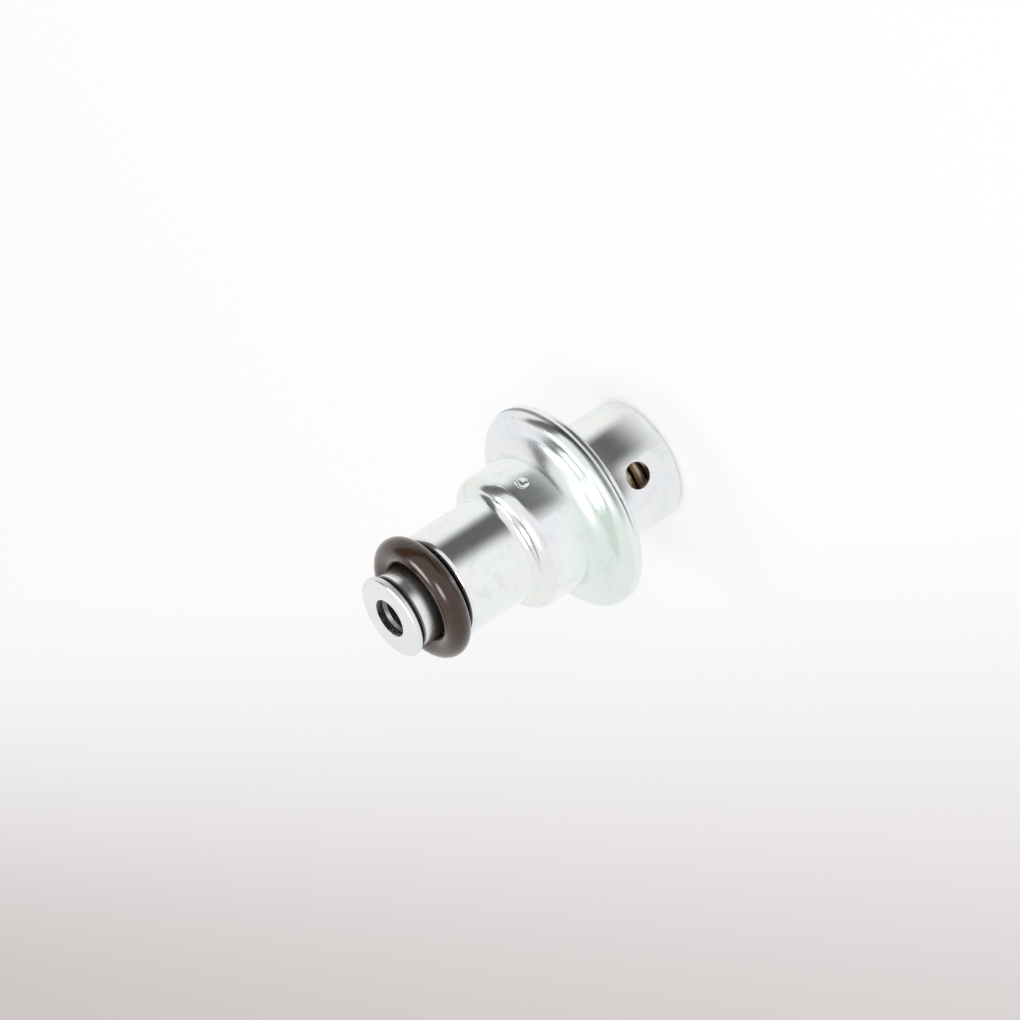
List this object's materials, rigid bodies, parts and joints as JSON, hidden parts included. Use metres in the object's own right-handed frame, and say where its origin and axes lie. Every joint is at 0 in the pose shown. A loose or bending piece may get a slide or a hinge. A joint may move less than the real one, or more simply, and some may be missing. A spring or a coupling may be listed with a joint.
{
  "type": "fuel pressure regulator",
  "caption": "Flow-through fuel pressure regulator: sprung diaphragm valve in a stepped sheet-metal body with a folded flange, an O-ring inlet nose and a side outlet in the spring cover.",
  "frame": {"origin": "centre of the spring cover's closed end face, on which the part stands", "axes": "+Z runs along the part's axis from the cover's end to the inlet nose; the outlet hole in the cover faces -Y"},
  "size_m": [0.03, 0.03, 0.044],
  "materials": {
    "zinc_plate": "bright zinc-plated drawn steel with a faint blue and green tint",
    "zinc_plate_cover": "bright zinc-plated drawn steel",
    "nozzle_steel": "turned steel, bright zinc-plated",
    "o_ring_rubber": "dark brown-black moulded rubber, lightly oiled",
    "diaphragm_rubber": "fabric-backed rubber sheet",
    "pressed_steel": "plain pressed steel",
    "seat_brass": "turned brass",
    "spring_steel": "oil-tempered spring wire",
    "ball_steel": "polished hardened steel"
  },
  "bodies": {
    "housing": {"lower_housing": "zinc_plate", "spring_cover": "zinc_plate_cover", "inlet_nozzle": "nozzle_steel", "nose_o_ring": "o_ring_rubber", "diaphragm": "diaphragm_rubber", "main_spring": "spring_steel", "ball_spring": "spring_steel", "ball_holder": "pressed_steel"},
    "valve": {"valve_seat": "seat_brass", "diaphragm_washer": "pressed_steel", "spring_plate": "pressed_steel"},
    "ball": {"valve_ball": "ball_steel"}
  },
  "joints": [
    {"name": "valve_lift", "type": "slide", "parent": "housing", "child": "valve", "axis": [0, 0, -1], "range_m": [0, 0.0008], "stiffness_N_per_m": 3800, "deforming": ["main_spring", "diaphragm"]},
    {"name": "ball_float", "type": "slide", "parent": "housing", "child": "ball", "axis": [0, 0, 1], "range_m": [0, 0.0002], "stiffness_N_per_m": 4000, "deforming": ["ball_spring"]}
  ]
}
